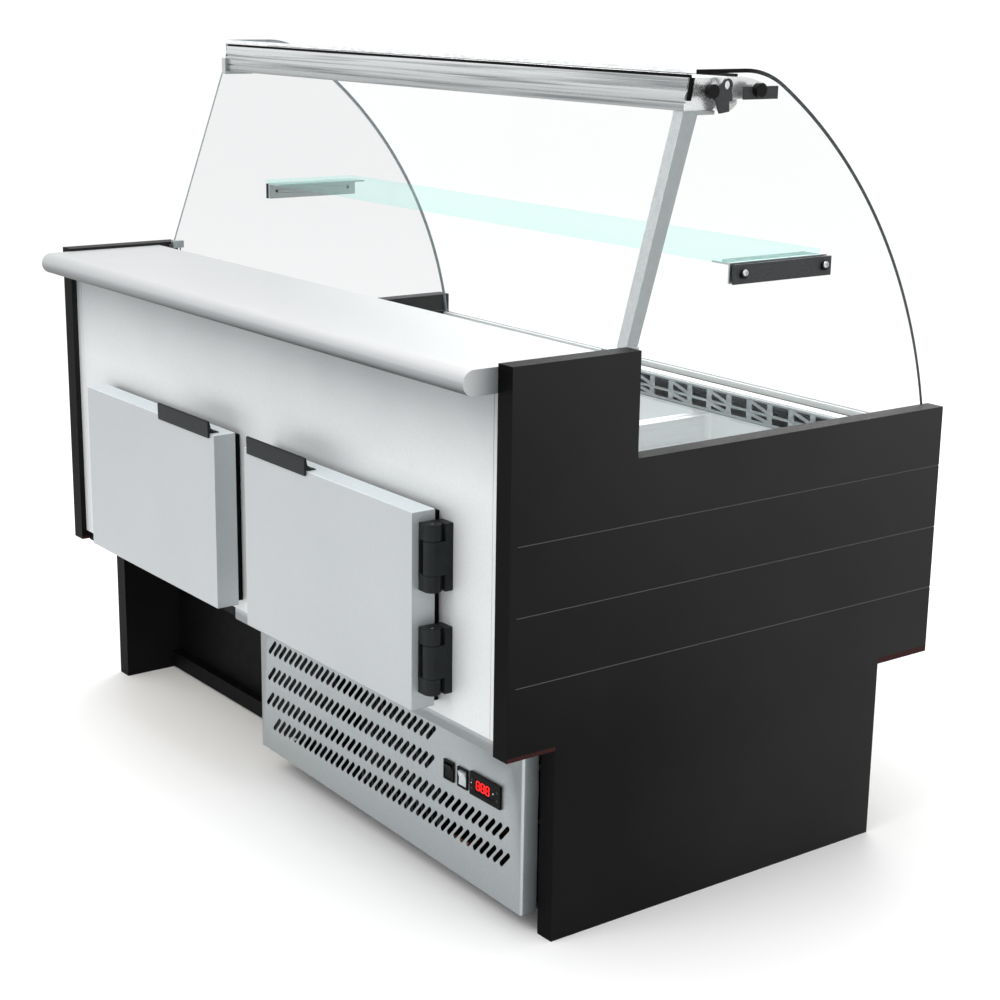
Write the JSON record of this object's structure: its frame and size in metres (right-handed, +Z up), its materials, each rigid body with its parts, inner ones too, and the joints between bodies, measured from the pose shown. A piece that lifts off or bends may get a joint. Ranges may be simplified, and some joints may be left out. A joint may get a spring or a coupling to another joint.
{
  "type": "refrigerated deli case",
  "caption": "Serve-over refrigerated deli counter with curved tilting front glass, glass shelf, stainless worktop, two storage doors and louvred machine cover.",
  "frame": {"origin": "on the floor, under the middle of the case", "axes": "+X along the counter towards the machine compartment, -Y towards the service side with its doors, +Y towards the customer, +Z up"},
  "size_m": [1.464, 0.9639, 1.295],
  "materials": {
    "panel_laminate": "satin black laminate",
    "black_sheet": "satin black",
    "galvanised": "spangled",
    "stainless": "fine brushed",
    "pan_stainless": "satin",
    "cover_stainless": "satin",
    "foam": "cellular",
    "rubber": "matt",
    "dark_plastic": "moulded",
    "black_plastic": "gloss",
    "clear_plastic": "translucent",
    "key_plastic": "satin",
    "compressor_paint": "semi-gloss",
    "fin_aluminium": "bare fins",
    "copper": "drawn tube",
    "canopy_aluminium": "bright anodised",
    "lamp_diffuser": "opal",
    "clear_glass": "polished edges",
    "aqua_glass": "polished edges"
  },
  "bodies": {
    "cabinet": {"end_panel_right": "panel_laminate", "end_panel_left": "panel_laminate", "front_fascia": "panel_laminate", "front_kick": "panel_laminate", "recess_lining": "black_sheet", "base_frame": "galvanised", "base_tray": "galvanised", "service_wall": "stainless", "tank_insulation": "foam", "tank_liner": "stainless", "rear_duct": "stainless", "worktop": "stainless", "deck_frame": "stainless", "air_grille": "pan_stainless", "hinge_brackets": "dark_plastic", "hinge_pins": "stainless", "machine_cover": "cover_stainless", "controller": "black_plastic", "switch_frames": "black_plastic", "compressor": "compressor_paint", "condenser": "fin_aluminium", "condenser_shroud": "galvanised", "condenser_fan_motor": "compressor_paint", "pipework": "copper", "evaporator": "fin_aluminium", "evaporator_fan_plate": "stainless", "drip_tray": "stainless", "storage_rack": "stainless", "canopy_profile": "canopy_aluminium", "canopy_lamp": "lamp_diffuser", "posts": "canopy_aluminium", "side_glass": "clear_glass", "glass_hinge_base": "canopy_aluminium", "shelf_glass": "aqua_glass", "shelf_brackets": "stainless", "glass_fixings": "dark_plastic", "glass_seals": "rubber", "cable_gland": "dark_plastic"},
    "door_right_leaf": {"door_right": "stainless", "door_gasket_right": "rubber", "door_handle_right": "dark_plastic", "hinge_leaves_right": "dark_plastic"},
    "door_left_leaf": {"door_left": "stainless", "door_gasket_left": "rubber", "door_handle_left": "dark_plastic", "hinge_leaves_left": "dark_plastic"},
    "tilting_glass": {"front_glass": "clear_glass", "glass_hinge_leaf": "canopy_aluminium"},
    "condenser_rotor": {"condenser_fan": "dark_plastic"},
    "evaporator_rotor": {"evaporator_fan": "dark_plastic"},
    "rocker_1": {"switch_rocker_1": "black_plastic"},
    "rocker_2": {"switch_rocker_2": "clear_plastic"},
    "key_1": {"controller_key_1": "key_plastic"},
    "pan_1": {"deck_pan_1": "pan_stainless"},
    "key_2": {"controller_key_2": "key_plastic"},
    "pan_2": {"deck_pan_2": "pan_stainless"},
    "key_3": {"controller_key_3": "key_plastic"},
    "pan_3": {"deck_pan_3": "pan_stainless"},
    "key_4": {"controller_key_4": "key_plastic"},
    "pan_4": {"deck_pan_4": "pan_stainless"}
  },
  "joints": [
    {"name": "door_right_hinge", "type": "hinge", "parent": "cabinet", "child": "door_right_leaf", "pos_m": [0.566, -0.44, 0.5], "axis": [0, 0, 1], "range_deg": [0, 105]},
    {"name": "door_left_hinge", "type": "hinge", "parent": "cabinet", "child": "door_left_leaf", "pos_m": [-0.566, -0.44, 0.5], "axis": [0, 0, -1], "range_deg": [0, 105]},
    {"name": "front_glass_tilt", "type": "hinge", "parent": "cabinet", "child": "tilting_glass", "pos_m": [0, 0.466, 0.668], "axis": [-1, 0, 0], "range_deg": [0, 60]},
    {"name": "condenser_fan_spin", "type": "hinge", "parent": "cabinet", "child": "condenser_rotor", "pos_m": [0.31, -0.252, 0.168], "axis": [0, 1, 0], "continuous": true},
    {"name": "evaporator_fan_spin", "type": "hinge", "parent": "cabinet", "child": "evaporator_rotor", "pos_m": [0, 0.234, 0.5], "axis": [0, 1, 0], "continuous": true},
    {"name": "switch_1_rock", "type": "hinge", "parent": "cabinet", "child": "rocker_1", "pos_m": [0.498, -0.354, 0.2065], "axis": [-1, 0, 0], "range_deg": [0, 14]},
    {"name": "switch_2_rock", "type": "hinge", "parent": "cabinet", "child": "rocker_2", "pos_m": [0.5355, -0.354, 0.2065], "axis": [-1, 0, 0], "range_deg": [0, 14]},
    {"name": "key_1_press", "type": "slide", "parent": "cabinet", "child": "key_1", "axis": [0, 1, 0], "range_m": [0, 0.0005], "stiffness_N_per_m": 200},
    {"name": "key_2_press", "type": "slide", "parent": "cabinet", "child": "key_2", "axis": [0, 1, 0], "range_m": [0, 0.0005], "stiffness_N_per_m": 200},
    {"name": "key_3_press", "type": "slide", "parent": "cabinet", "child": "key_3", "axis": [0, 1, 0], "range_m": [0, 0.0005], "stiffness_N_per_m": 200},
    {"name": "key_4_press", "type": "slide", "parent": "cabinet", "child": "key_4", "axis": [0, 1, 0], "range_m": [0, 0.0005], "stiffness_N_per_m": 200},
    {"name": "pan_1_lift", "type": "slide", "parent": "cabinet", "child": "pan_1", "axis": [0, 0, 1], "range_m": [0, 0.15]},
    {"name": "pan_2_lift", "type": "slide", "parent": "cabinet", "child": "pan_2", "axis": [0, 0, 1], "range_m": [0, 0.15]},
    {"name": "pan_3_lift", "type": "slide", "parent": "cabinet", "child": "pan_3", "axis": [0, 0, 1], "range_m": [0, 0.15]},
    {"name": "pan_4_lift", "type": "slide", "parent": "cabinet", "child": "pan_4", "axis": [0, 0, 1], "range_m": [0, 0.15]}
  ]
}
